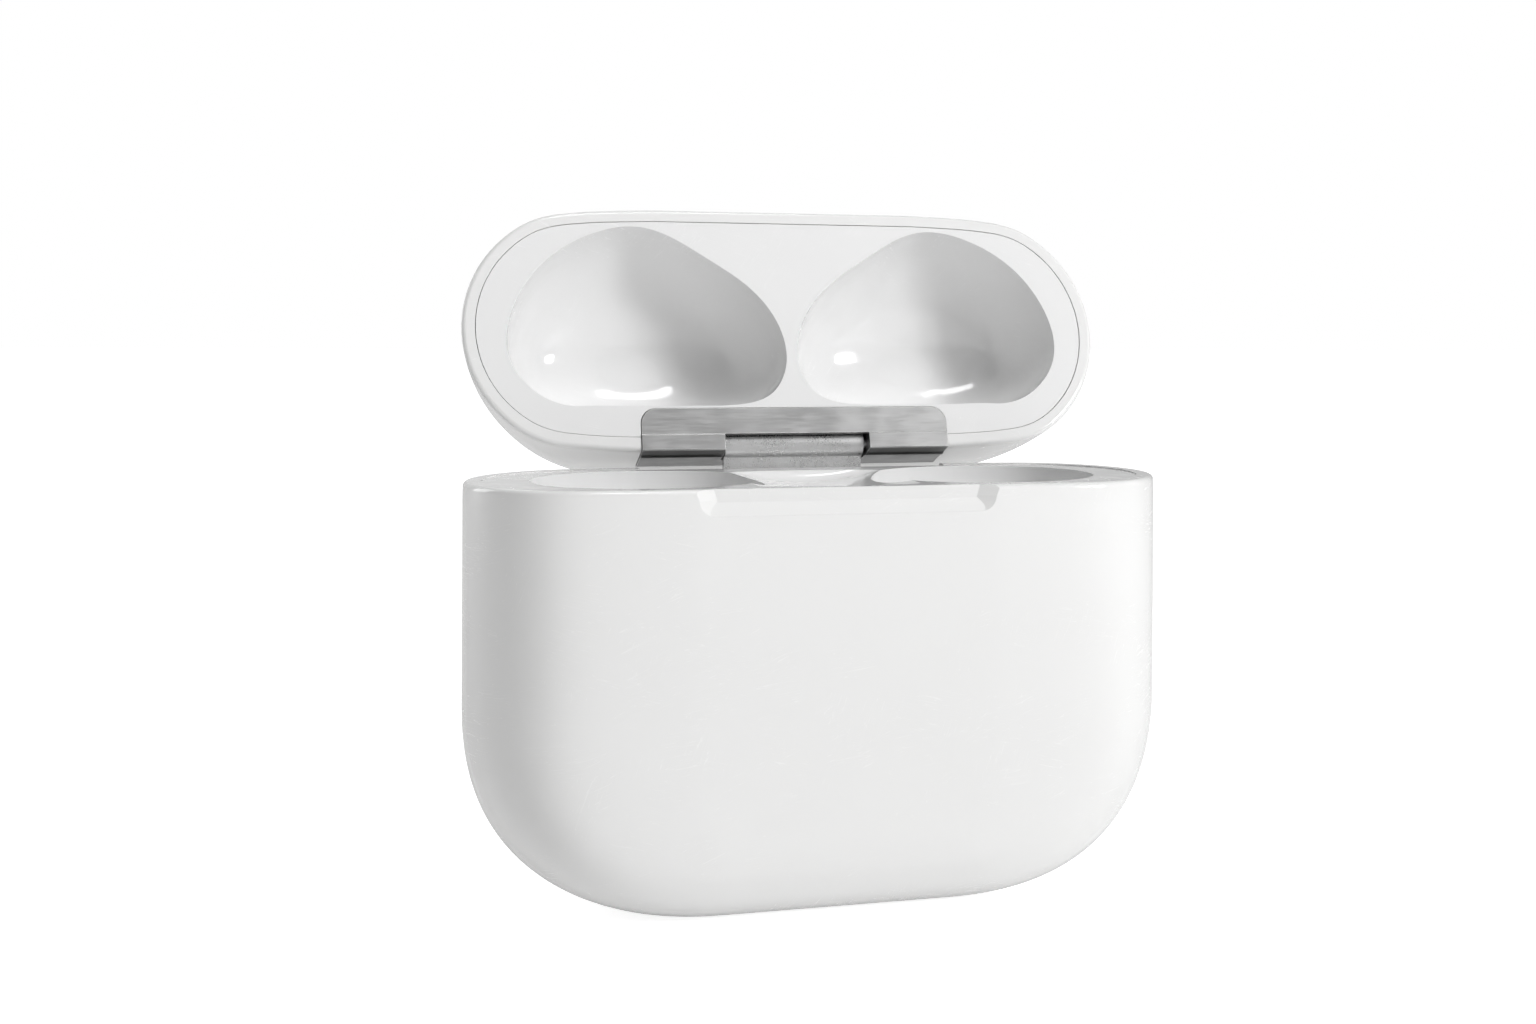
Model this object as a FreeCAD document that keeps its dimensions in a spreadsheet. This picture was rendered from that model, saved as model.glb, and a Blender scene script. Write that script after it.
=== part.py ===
import FreeCAD, Part
import math
import os
from FreeCAD import Vector, Placement, Rotation

# Charging case for a pair of wireless earbuds, lid open.
# Frame: +X to the right seen from the front, -Y is the front, +Z is up,
# origin in the middle of the flat base. Millimetres.

doc = FreeCAD.newDocument("EarbudCase")
sheet = doc.addObject("Spreadsheet::Sheet", "Sizes")

DIMENSIONS = [
    # closed case
    ("case_width", 54.4),
    ("case_depth", 21.38),
    ("case_height", 46.4),
    ("seam_height", 32.0),
    ("seam_gap", 0.16),
    ("rim_round", 0.35),
    ("side_round", 10.4),
    ("face_crown", 6.0),
    ("end_round", 7.3),
    ("base_trim", 0.3),
    ("lower_corner_x", 18.5),
    ("lower_corner_z", 15.4),
    ("upper_corner_x", 15.6),
    ("upper_corner_z", 16.0),
    ("shell_wall", 1.3),
    ("lid_wall", 1.1),
    ("liner_gap", 0.05),
    ("cradle_gap", 0.03),
    ("cradle_drop", 0.08),
    ("liner_wall", 0.8),
    ("rim_plate", 0.9),
    ("cradle_block", 8.8),
    ("saddle_radius", 22.0),
    ("saddle_depth", 0.9),
    ("saddle_front", -8.3),
    ("saddle_run", 14.4),
    ("saddle_round", 1.2),
    ("lid_liner_wall", 0.6),
    # finger notch in the front of the body's rim
    ("notch_width", 22.8),
    ("notch_drop", 1.9),
    ("notch_sink", 0.75),
    ("notch_corner", 1.1),
    ("notch_flare", 2.2),
    # hinge
    ("hinge_y", 9.7),
    ("hinge_rise", 1.8),
    ("open_angle", 110.0),
    ("leaf_width", 25.8),
    ("barrel_width", 11.7),
    ("barrel_radius", 1.1),
    ("neck_front", 0.1),
    ("neck_thick", 0.8),
    ("pin_radius", 0.4),
    ("pin_clearance", 0.04),
    ("barrel_gap", 0.25),
    ("barrel_shift", -0.1),
    ("knuckle_raise", 0.12),
    ("leaf_sink", 0.02),
    ("leaf_height", 4.7),
    ("leaf_plate", 1.0),
    ("leaf_reach", 3.6),
    ("leaf_corner", 1.3),
    ("leaf_chamfer", 0.09),
    ("swing_gap", 0.12),
    ("wall_zone", 1.4),
    ("bracket_drop", 3.4),
    ("bracket_plate", 1.3),
    ("bracket_gap", 0.25),
    # earbud wells in the body
    ("well_x", 13.4),
    ("stem_x", 14.8),
    ("stem_y", -1.0),
    ("stem_radius", 3.2),
    ("stem_floor", 5.0),
    # battery
    ("battery_length", 17.4),
    ("battery_depth", 11.6),
    ("battery_height", 9.4),
    ("battery_front", -5.4),
    ("battery_bottom", 8.8),
    # main board
    ("board_length", 24.0),
    ("board_height", 12.4),
    ("board_thick", 0.8),
    ("board_front", -7.7),
    ("board_bottom", 6.2),
    # charging coil on the back wall
    ("coil_radius", 8.1),
    ("coil_bore", 3.6),
    ("coil_thick", 0.6),
    ("coil_centre_z", 13.6),
    ("coil_back", 9.3),
    ("ferrite_thick", 0.5),
    ("magnet_ring", 10.0),
    # magnet and sensor behind the front wall
    ("closing_drop", 4.6),
    ("hall_drop", 3.4),
    # pairing button
    ("button_radius", 2.4),
    ("button_slack", 0.12),
    ("button_z", 25.2),
    # charging port
    ("port_width", 8.4),
    ("port_height", 2.6),
    ("port_wall", 0.3),
    ("port_depth", 6.6),
]
for row, (alias, value) in enumerate(DIMENSIONS, start=1):
    sheet.set("A%d" % row, alias)
    sheet.set("B%d" % row, str(value))
    sheet.setAlias("B%d" % row, alias)
doc.recompute()


def dim(alias):
    return float(sheet.get(alias))


PARTS = []


def subpart(obj, label):
    obj.Label = label
    PARTS.append(obj)
    return obj


def box(name, corner, size):
    """Part box; corner and size are expressions on the sheet."""
    obj = doc.addObject("Part::Box", name)
    keys = (".Placement.Base.x", ".Placement.Base.y", ".Placement.Base.z")
    for key, text in zip(keys, corner):
        obj.setExpression(key, text)
    for key, text in zip(("Length", "Width", "Height"), size):
        obj.setExpression(key, text)
    return obj


def rod(name, start, radius, length, along):
    """Part cylinder along X, Y or Z from start."""
    obj = doc.addObject("Part::Cylinder", name)
    turn = {
        "x": Rotation(Vector(0, 1, 0), 90),
        "y": Rotation(Vector(1, 0, 0), -90),
        "z": Rotation(),
    }[along]
    obj.Placement = Placement(Vector(0, 0, 0), turn)
    keys = (".Placement.Base.x", ".Placement.Base.y", ".Placement.Base.z")
    for key, text in zip(keys, start):
        obj.setExpression(key, text)
    obj.setExpression("Radius", radius)
    obj.setExpression("Height", length)
    return obj


def cut(name, base, tool):
    obj = doc.addObject("Part::Cut", name)
    obj.Base = base
    obj.Tool = tool
    return obj


def fuse(name, shapes):
    obj = doc.addObject("Part::MultiFuse", name)
    obj.Shapes = shapes
    obj.Refine = True
    return obj


def group(name, shapes):
    """Several separate solids that share one node."""
    obj = doc.addObject("Part::Compound", name)
    obj.Links = shapes
    return obj


def solid_feature(name, shape, placement=None):
    obj = doc.addObject("Part::Feature", name)
    obj.Shape = shape
    if placement is not None:
        obj.Placement = placement
    return obj


# ---------------------------------------------------------------- outer form

CORNER_HANDLE = 0.664
DEPTH_ANGLES = (0, 13, 26, 38, 50, 61, 70, 76, 81, 86, 90)
END_EXPONENT = 3.0
CROWN_EXPONENT = 40


def corner(start, end, handle_x, handle_z, y):
    """Quarter of a squarish oval between two tangent points, as one curve."""
    pole_a = Vector(start[0] + handle_x[0], y, start[1] + handle_z[0])
    pole_b = Vector(end[0] + handle_x[1], y, end[1] + handle_z[1])
    curve = Part.BezierCurve()
    curve.setPoles([Vector(start[0], y, start[1]), pole_a, pole_b, Vector(end[0], y, end[1])])
    return curve.toShape()


def front_section(y, half_width, low, high, lower, upper):
    """Front-view outline at depth y: four lines and four corner curves."""
    lx, lz = lower
    ux, uz = upper
    k = CORNER_HANDLE
    w = half_width

    def line(ax, az, bx, bz):
        return Part.LineSegment(Vector(ax, y, az), Vector(bx, y, bz)).toShape()

    edges = [
        line(-w + lx, low, w - lx, low),
        corner((w - lx, low), (w, low + lz), (k * lx, 0), (0, -k * lz), y),
        line(w, low + lz, w, high - uz),
        corner((w, high - uz), (w - ux, high), (0, k * ux), (k * uz, 0), y),
        line(w - ux, high, -w + ux, high),
        corner((-w + ux, high), (-w, high - uz), (-k * ux, 0), (0, k * uz), y),
        line(-w, high - uz, -w, low + lz),
        corner((-w, low + lz), (-w + lx, low), (0, -k * lx), (-k * lz, 0), y),
    ]
    return Part.Wire(edges)


def case_form(inset):
    """Whole closed case, shrunk by inset on every side."""
    half_depth = dim("case_depth") / 2 - inset
    side = dim("side_round") - inset
    end = dim("end_round") - inset
    wires = []
    angles = [-a for a in reversed(DEPTH_ANGLES)] + list(DEPTH_ANGLES[1:])
    for angle in angles:
        reach = abs(math.sin(math.radians(angle)))
        side_in = side * (1 - math.cos(math.radians(angle)))
        side_in += dim("face_crown") * reach ** CROWN_EXPONENT
        end_in = end * (1 - (1 - reach ** END_EXPONENT) ** (1 / END_EXPONENT))
        half_width = dim("case_width") / 2 - inset - side_in
        low = inset + end_in - dim("base_trim")
        high = dim("case_height") - inset - end_in
        lower = (
            dim("lower_corner_x") - inset - side_in,
            dim("lower_corner_z") - inset - end_in,
        )
        upper = (
            dim("upper_corner_x") - inset - side_in * 0.8,
            dim("upper_corner_z") - inset - end_in,
        )
        y = half_depth * math.sin(math.radians(angle))
        wires.append(front_section(y, half_width, low, high, lower, upper))
    return Part.makeLoft(wires, True, False)


def slab(low, high):
    """Big block between two heights, used to split the form."""
    size = 80.0
    return Part.makeBox(size, size, high - low, Vector(-size / 2, -size / 2, low))


def rim_edges(shape, height):
    found = []
    for edge in shape.Edges:
        bounds = edge.BoundBox
        if abs(bounds.ZMin - height) < 0.001 and abs(bounds.ZMax - height) < 0.001:
            found.append(edge)
    return found


def upright_edges(shape, front):
    """Vertical edges of a plate's front side."""
    return [e for e in shape.Edges
            if abs(e.BoundBox.YMax - front) < 0.001 and e.BoundBox.ZLength > 0.5]


SEAM = dim("seam_height")
BODY_RIM = SEAM - dim("seam_gap") / 2
LID_RIM = SEAM + dim("seam_gap") / 2
HALF_DEPTH = dim("case_depth") / 2
HINGE_Z = SEAM + dim("hinge_rise")

outer_form = case_form(0.0)
body_inner_form = case_form(dim("shell_wall"))
cradle_form = case_form(dim("shell_wall") + dim("cradle_gap"))
lid_inner_form = case_form(dim("lid_wall"))
liner_form = case_form(dim("lid_wall") + dim("liner_gap"))

# The lid's parts are drawn closed and turned open about the hinge axis.
hinge_point = Vector(0, dim("hinge_y"), HINGE_Z)
open_turn = Rotation(Vector(1, 0, 0), -dim("open_angle"))
lid_open = Placement(Vector(0, 0, 0), open_turn, hinge_point)

# ------------------------------------------------------------ finger notch


def notch_outline(half, low, y):
    """Front-view outline of the notch at depth y, with rounded lower corners."""
    top = BODY_RIM + 1.0
    fillet = dim("notch_corner")
    slope = 0.35
    points = [
        Vector(-half - slope, y, top),
        Vector(-half, y, BODY_RIM),
        Vector(-half + slope, y, low + fillet),
        Vector(-half + slope + fillet, y, low),
        Vector(half - slope - fillet, y, low),
        Vector(half - slope, y, low + fillet),
        Vector(half, y, BODY_RIM),
        Vector(half + slope, y, top),
    ]
    left_mid = Vector(-half + slope + fillet * 0.3, y, low + fillet * 0.3)
    right_mid = Vector(half - slope - fillet * 0.3, y, low + fillet * 0.3)
    return Part.Wire([
        Part.LineSegment(points[0], points[1]).toShape(),
        Part.LineSegment(points[1], points[2]).toShape(),
        Part.Arc(points[2], left_mid, points[3]).toShape(),
        Part.LineSegment(points[3], points[4]).toShape(),
        Part.Arc(points[4], right_mid, points[5]).toShape(),
        Part.LineSegment(points[5], points[6]).toShape(),
        Part.LineSegment(points[6], points[7]).toShape(),
        Part.LineSegment(points[7], points[0]).toShape(),
    ])


def finger_notch():
    """Shallow scoop whose ends and floor slope into the front wall."""
    half = dim("notch_width") / 2
    drop = dim("notch_drop")
    low = BODY_RIM - drop
    flare = dim("notch_flare")
    ahead = 1.0
    behind = 1.5
    prism = Part.makeLoft([
        notch_outline(half + flare * ahead, low, -HALF_DEPTH - ahead),
        notch_outline(half - flare * behind, low, -HALF_DEPTH + behind),
    ], True, True)
    sink = dim("notch_sink")
    wedge_points = [
        Vector(-40, -HALF_DEPTH - 2.0, low - 0.6),
        Vector(-40, -HALF_DEPTH + 0.04, low),
        Vector(-40, -HALF_DEPTH + sink * 0.8, low + drop * 0.5),
        Vector(-40, -HALF_DEPTH + sink, BODY_RIM + 1.5),
        Vector(-40, -HALF_DEPTH - 2.0, BODY_RIM + 1.5),
    ]
    wedge = Part.Face(Part.makePolygon(wedge_points + wedge_points[:1])).extrude(Vector(80, 0, 0))
    return prism.common(wedge)


# ----------------------------------------------------------------- bowls


def oval_wire(z, cx, cy, half_x, half_y, handle):
    """Closed oval of four curves in a level plane."""
    right = (cx + half_x, cy)
    back = (cx, cy + half_y)
    left = (cx - half_x, cy)
    front = (cx, cy - half_y)
    kx = handle * half_x
    ky = handle * half_y
    quarters = [
        (right, (0, ky), (kx, 0), back),
        (back, (-kx, 0), (0, ky), left),
        (left, (0, -ky), (-kx, 0), front),
        (front, (kx, 0), (0, -ky), right),
    ]
    edges = []
    for start, first, second, end in quarters:
        curve = Part.BezierCurve()
        curve.setPoles([
            Vector(start[0], start[1], z),
            Vector(start[0] + first[0], start[1] + first[1], z),
            Vector(end[0] + second[0], end[1] + second[1], z),
            Vector(end[0], end[1], z),
        ])
        edges.append(curve.toShape())
    return Part.Wire(edges)


def well(side, grow, floor_drop, top):
    """Space for one earbud: wide for the bud, narrow for the stem."""
    stem = (dim("stem_x"), dim("stem_y"))
    radius = dim("stem_radius")
    levels = [
        (top, dim("well_x"), 0.0, 8.9, 8.0),
        (29.5, dim("well_x"), 0.0, 8.75, 7.9),
        (26.5, 13.6, -0.1, 8.2, 7.2),
        (23.5, 14.0, -0.3, 7.2, 6.0),
        (20.8, 14.4, -0.6, 5.6, 4.8),
        (18.0, 14.7, -0.9, 4.1, 3.8),
        (15.0, stem[0], stem[1], radius + 0.15, radius + 0.15),
        (10.0, stem[0], stem[1], radius, radius),
        (dim("stem_floor") - floor_drop, stem[0], stem[1], radius, radius),
    ]
    wires = []
    for z, cx, cy, half_x, half_y in levels:
        wires.append(oval_wire(z, side * cx, cy, half_x + grow, half_y + grow, 0.58))
    return Part.makeLoft(wires, True, False)


POCKET_POINTS = [
    (17.6, 6.82),
    (21.3, 5.6),
    (23.45, 2.4),
    (23.0, -1.8),
    (20.6, -5.6),
    (16.6, -8.3),
    (12.4, -9.05),
    (7.0, -6.4),
    (2.6, -2.9),
    (0.75, 0.4),
    (0.6, 3.6),
    (2.0, 5.9),
    (5.0, 6.8),
    (9.2, 6.85),
    (13.4, 6.85),
]
POCKET_CENTRE = (12.6, 0.6)
# depth below the rim, blend towards the bottom oval, scale of that oval
POCKET_LEVELS = [
    (1.4, 0.03, 1.0),
    (3.2, 0.10, 1.0),
    (5.0, 0.24, 1.0),
    (6.6, 0.45, 1.0),
    (8.0, 0.72, 1.0),
    (9.0, 1.00, 0.95),
    (9.7, 1.00, 0.65),
    (10.0, 1.00, 0.30),
]
POCKET_OVAL = (8.2, 4.4)


def pocket_wire(depth, blend, oval, grow):
    """Outline of the left lid pocket at one depth."""
    cx, cy = POCKET_CENTRE

    def place(x, y):
        angle = math.atan2(y - cy, x - cx)
        px = x + (cx + oval * POCKET_OVAL[0] * math.cos(angle) - x) * blend
        py = y + (cy + oval * POCKET_OVAL[1] * math.sin(angle) - y) * blend
        px += grow * math.cos(angle)
        py += grow * math.sin(angle)
        return Vector(-px, py, LID_RIM + depth)

    curve = Part.BSplineCurve()
    curve.interpolate(Points=[place(x, y) for x, y in POCKET_POINTS], PeriodicFlag=True)
    return Part.Wire([curve.toShape()])


def pocket(side, grow, mouth):
    """Deep bowl in the lid for the top of one earbud."""
    wires = [pocket_wire(mouth, 0.0, 1.0, grow)]
    for depth, blend, oval in POCKET_LEVELS:
        wires.append(pocket_wire(depth + grow * depth / 10.0, blend, oval, grow))
    bowl = Part.makeLoft(wires, True, False)
    if side > 0:
        bowl = bowl.mirror(Vector(0, 0, 0), Vector(1, 0, 0))
    return bowl


# ------------------------------------------------------------- shells

FIT = 0.05
hinge_half = dim("leaf_width") / 2


def bracket_room():
    """Room in the body for the hinge bracket and for the lid leaf's swinging back edge."""
    low = BODY_RIM - dim("bracket_drop") - FIT
    half = hinge_half + FIT
    front = HALF_DEPTH - dim("bracket_plate") - FIT
    plate = Part.makeBox(2 * half, 4.0, SEAM + 1 - low, Vector(-half, front, low))
    neck_half = dim("barrel_width") / 2 + 0.3
    neck_low = SEAM - dim("bracket_gap") - 0.6 - FIT
    neck = Part.makeBox(2 * neck_half, 2.0, SEAM + 1 - neck_low,
                        Vector(-neck_half, dim("hinge_y") - dim("neck_front") - FIT, neck_low))
    block_drop = dim("hinge_rise") - dim("seam_gap") / 2 + dim("leaf_sink") + dim("knuckle_raise")
    reach = math.hypot(HALF_DEPTH - dim("hinge_y"), block_drop)
    swing = Part.makeCylinder(reach + FIT, 2 * half,
                              Vector(-half, dim("hinge_y"), HINGE_Z), Vector(1, 0, 0))
    return plate.fuse(neck).fuse(swing)


def leaf_room():
    """Room in the lid for the hinge leaf: wall zone and the recess for its rim plate."""
    half = hinge_half + FIT
    top = LID_RIM + dim("leaf_height") + FIT
    front = HALF_DEPTH - dim("wall_zone") - FIT
    wall = Part.makeBox(2 * half, 4.0, top - SEAM + 1, Vector(-half, front, SEAM - 1))
    reach = HALF_DEPTH - dim("leaf_reach") - FIT
    plate = Part.makeBox(2 * half, 4.0, dim("leaf_plate") + FIT + LID_RIM - SEAM + 1,
                         Vector(-half, reach, SEAM - 1))
    plate = plate.makeFillet(dim("leaf_corner"), upright_edges(plate, reach))
    knuckles = Part.makeCylinder(dim("barrel_radius") + dim("swing_gap"), 2 * half,
                                 Vector(-half, dim("hinge_y"), HINGE_Z), Vector(1, 0, 0))
    return wall.fuse(plate).fuse(knuckles)


body_outer = outer_form.common(slab(0.0, BODY_RIM))
body_outer = body_outer.makeFillet(dim("rim_round"), rim_edges(body_outer, BODY_RIM))
body_inner = body_inner_form.common(slab(dim("shell_wall"), SEAM + 1))
shell = body_outer.cut(body_inner)
shell = shell.cut(finger_notch())
shell = shell.cut(bracket_room())
button_hole = Part.makeCylinder(
    dim("button_radius") + dim("button_slack"), 4.0,
    Vector(0, HALF_DEPTH - 3.0, dim("button_z")), Vector(0, 1, 0))
shell = shell.cut(button_hole)


def port_slot(extra, low, height):
    """Upright slot with round ends, extra larger than the port's mouth."""
    half = dim("port_width") / 2 + extra
    radius = dim("port_height") / 2 + extra
    run = half - radius
    left = Part.makeCylinder(radius, height, Vector(-run, 0, low))
    right = Part.makeCylinder(radius, height, Vector(run, 0, low))
    middle = Part.makeBox(2 * run, 2 * radius, height, Vector(-run, -radius, low))
    return left.fuse(right).fuse(middle).removeSplitter()


shell = shell.cut(port_slot(0.05, -1.0, 4.0))
subpart(solid_feature("BodyShell", shell), "body_shell")

lid_outer = outer_form.common(slab(LID_RIM, dim("case_height") + 1))
lid_outer = lid_outer.makeFillet(dim("rim_round"), rim_edges(lid_outer, LID_RIM))
lid_inner = lid_inner_form.common(slab(SEAM - 1, dim("case_height")))
lid = lid_outer.cut(lid_inner).cut(leaf_room())
subpart(solid_feature("LidShell", lid, lid_open), "lid_shell")

# ------------------------------------------------------- liners

cradle_top = BODY_RIM - dim("cradle_drop")
wall = dim("liner_wall")
cradle_low = cradle_top - dim("cradle_block")
cradle = cradle_form.common(slab(cradle_low, cradle_top))
for side in (-1, 1):
    cradle = cradle.fuse(well(side, wall, wall, cradle_top).common(slab(0, cradle_top)))
for side in (-1, 1):
    cradle = cradle.cut(well(side, 0.0, 0.0, cradle_top + 0.5))


def room(x_low, x_high, y_low, y_high, z_low, z_high):
    return Part.makeBox(x_high - x_low, y_high - y_low, z_high - z_low, Vector(x_low, y_low, z_low))


# low saddle between the two wells
saddle_axis = cradle_top + dim("saddle_radius") - dim("saddle_depth")
saddle = Part.makeCylinder(dim("saddle_radius"), dim("saddle_run"),
                           Vector(0, dim("saddle_front"), saddle_axis), Vector(0, 1, 0))
saddle_ends = [e for e in saddle.Edges if e.BoundBox.YLength < 0.01]
saddle = saddle.makeFillet(dim("saddle_round"), saddle_ends)
cradle = cradle.cut(saddle)
cradle = cradle.cut(bracket_room())
magnet_back = -HALF_DEPTH + 3.3 + FIT
magnet_low = SEAM - dim("closing_drop")
magnet_room = room(-2.6 - FIT, 2.6 + FIT, -HALF_DEPTH, magnet_back,
                   magnet_low - FIT, magnet_low + 2.0 + FIT)
hall_low = SEAM - dim("hall_drop")
hall_room = room(4.6 - FIT, 6.2 + FIT, -HALF_DEPTH, -HALF_DEPTH + 2.3 + FIT,
                 hall_low - FIT, hall_low + 1.6 + FIT)
button_low = dim("button_z") - 3.3
button_room = room(-3.4, 3.4, HALF_DEPTH - dim("shell_wall") - 2.4, HALF_DEPTH,
                   button_low - 1, button_low + 6.6)
cradle = cradle.cut(magnet_room).cut(hall_room).cut(button_room)
for side in (-1, 1):
    low_x = side * 3.9 - 0.75
    holder = room(low_x - FIT, low_x + 1.5 + FIT, -1.6 - FIT, 1.6 + FIT, cradle_low - 1, cradle_low + 2.6)
    cradle = cradle.cut(holder)
subpart(solid_feature("Cradle", cradle), "earbud_cradle")

liner_low = LID_RIM + 0.05
lid_skin = dim("lid_liner_wall")
liner = liner_form.common(slab(liner_low, liner_low + dim("rim_plate")))
for side in (-1, 1):
    liner = liner.fuse(pocket(side, lid_skin, 0.06).common(liner_form))
for side in (-1, 1):
    liner = liner.cut(pocket(side, 0.0, -0.3))
liner = liner.cut(leaf_room())
subpart(solid_feature("LidLiner", liner, lid_open), "lid_liner")

# ------------------------------------------------------- hinge

plate_low = LID_RIM - dim("leaf_sink")
block_low = plate_low - dim("knuckle_raise")
zone_front = HALF_DEPTH - dim("wall_zone")
reach_front = HALF_DEPTH - dim("leaf_reach")
gap_low = dim("barrel_shift") - dim("barrel_width") / 2 - dim("barrel_gap") + 0.1
gap_high = dim("barrel_shift") + dim("barrel_width") / 2 + dim("barrel_gap") + 0.1


def leaf_blank():
    """Back plate, knuckle blocks and rim plate of the lid's hinge leaf, drawn closed."""
    half = hinge_half
    top = LID_RIM + dim("leaf_height")
    leaf = room(-half, half, zone_front, HALF_DEPTH, block_low, top)
    plate = room(-half, half, reach_front, zone_front + 0.1, plate_low, LID_RIM + dim("leaf_plate"))
    leaf = leaf.fuse(plate.makeFillet(dim("leaf_corner"), upright_edges(plate, reach_front)))
    for start, end in ((-half, gap_low), (gap_high, half)):
        knuckle = Part.makeCylinder(dim("barrel_radius"), end - start,
                                    Vector(start, dim("hinge_y"), HINGE_Z), Vector(1, 0, 0))
        leaf = leaf.fuse(knuckle)
    swing = Part.makeCylinder(dim("barrel_radius") + dim("swing_gap"), gap_high - gap_low,
                              Vector(gap_low, dim("hinge_y"), HINGE_Z), Vector(1, 0, 0))
    below = room(gap_low, gap_high, zone_front - 0.01, HALF_DEPTH + 1, block_low - 1, HINGE_Z)
    behind = room(gap_low, gap_high, dim("hinge_y") + 0.1, HALF_DEPTH + 1,
                  HINGE_Z - 0.1, HINGE_Z + 1.25)
    leaf = leaf.cut(swing).cut(below).cut(behind)
    pin_room = Part.makeCylinder(dim("pin_radius") + dim("pin_clearance"), 2 * half + 2,
                                 Vector(-half - 1, dim("hinge_y"), HINGE_Z), Vector(1, 0, 0))
    return leaf.cut(pin_room).removeSplitter()


leaf = leaf_blank()
long_low = [e for e in leaf.Edges
            if e.BoundBox.XLength > 3.0 and abs(e.BoundBox.ZMax - block_low) < 0.001]
leaf = leaf.makeChamfer(dim("leaf_chamfer"), long_low)
subpart(solid_feature("LidLeaf", leaf, lid_open), "hinge_lid_leaf")

# Body side: plate let into the back wall, with the middle barrel on a neck.
bracket_top = "Sizes.seam_height - Sizes.seam_gap / 2 - Sizes.bracket_gap"
plate_box = box(
    "BracketPlate",
    ("-Sizes.leaf_width / 2", "Sizes.case_depth / 2 - Sizes.bracket_plate",
     "Sizes.seam_height - Sizes.seam_gap / 2 - Sizes.bracket_drop"),
    ("Sizes.leaf_width", "Sizes.bracket_plate", "Sizes.bracket_drop - Sizes.bracket_gap"))
neck_box = box(
    "BracketNeck",
    ("Sizes.barrel_shift - Sizes.barrel_width / 2", "Sizes.hinge_y - Sizes.neck_front",
     "Sizes.seam_height - Sizes.bracket_gap - 0.6"),
    ("Sizes.barrel_width", "Sizes.neck_thick", "Sizes.hinge_rise + Sizes.bracket_gap + 0.6"))
barrel = rod(
    "BracketBarrel",
    ("Sizes.barrel_shift - Sizes.barrel_width / 2", "Sizes.hinge_y",
     "Sizes.seam_height + Sizes.hinge_rise"),
    "Sizes.barrel_radius", "Sizes.barrel_width", "x")
bracket_solid = fuse("BracketSolid", [plate_box, neck_box, barrel])
pin_bore = rod(
    "PinBore",
    ("-Sizes.barrel_width", "Sizes.hinge_y", "Sizes.seam_height + Sizes.hinge_rise"),
    "Sizes.pin_radius + 0.01", "Sizes.barrel_width * 2", "x")
subpart(cut("BodyBracket", bracket_solid, pin_bore), "hinge_body_bracket")

pin = rod(
    "HingePin",
    ("-Sizes.leaf_width / 2 + 0.3", "Sizes.hinge_y", "Sizes.seam_height + Sizes.hinge_rise"),
    "Sizes.pin_radius", "Sizes.leaf_width - 0.6", "x")
subpart(pin, "hinge_pin")

# ------------------------------------------------------- battery

cell = box(
    "CellBlock",
    ("-Sizes.battery_length / 2", "Sizes.battery_front", "Sizes.battery_bottom"),
    ("Sizes.battery_length", "Sizes.battery_depth", "Sizes.battery_height"))
cell_round = doc.addObject("Part::Fillet", "BatteryCell")
cell_round.Base = cell
doc.recompute()
cell_round.Edges = [(i + 1, 1.0, 1.0) for i, e in enumerate(cell.Shape.Edges)
                    if e.BoundBox.XLength > 5]
subpart(cell_round, "battery_cell")

tab = box(
    "BatteryBoard",
    ("-3.0", "Sizes.battery_front + 0.5", "Sizes.battery_bottom + Sizes.battery_height + 0.05"),
    ("6.0", "5.0", "0.6"))
subpart(tab, "battery_guard_board")
flex_top = box(
    "FlexTop",
    ("-1.5", "Sizes.board_front + Sizes.board_thick + 0.05",
     "Sizes.battery_bottom + Sizes.battery_height + 0.7"),
    ("3.0", "7.0", "0.15"))
flex_drop = box(
    "FlexDrop",
    ("-1.5", "Sizes.board_front + Sizes.board_thick + 0.05",
     "Sizes.battery_bottom + Sizes.battery_height - 0.6"),
    ("3.0", "0.15", "1.35"))
subpart(fuse("BatteryFlex", [flex_top, flex_drop]), "battery_flex")

# ------------------------------------------------------- main board

board = box(
    "MainBoard",
    ("-Sizes.board_length / 2", "Sizes.board_front", "Sizes.board_bottom"),
    ("Sizes.board_length", "Sizes.board_thick", "Sizes.board_height"))
subpart(board, "logic_board")
shield = box(
    "BoardShield",
    ("-8.0", "Sizes.board_front + Sizes.board_thick + 0.02", "Sizes.board_bottom + 2.4"),
    ("10.0", "1.1", "8.0"))
subpart(shield, "board_shield")
chips = []
for index, (x, z, w, t) in enumerate(((3.2, 2.6, 3.4, 3.4), (7.6, 3.0, 2.6, 2.2), (3.4, 7.4, 2.4, 1.8),
                                      (7.4, 6.6, 3.2, 3.0), (-10.8, 4.0, 1.8, 1.4))):
    chips.append(box(
        "Chip%d" % index,
        (str(x), "Sizes.board_front + Sizes.board_thick + 0.02", "Sizes.board_bottom + %s" % z),
        (str(w), "0.8", str(t))))
subpart(group("BoardChips", chips), "board_chips")

led = box("StatusLed", ("-0.8", "Sizes.board_front - 0.62", "Sizes.board_bottom + 8.0"),
          ("1.6", "0.6", "0.8"))
subpart(led, "status_led")
guide = rod("LightGuide",
            ("0", "-Sizes.case_depth / 2 + Sizes.shell_wall + 0.1", "Sizes.board_bottom + 8.4"),
            "0.9", "Sizes.board_front - 0.65 + Sizes.case_depth / 2 - Sizes.shell_wall - 0.1", "y")
subpart(guide, "led_light_guide")

# ------------------------------------------------------- charging coil

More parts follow.
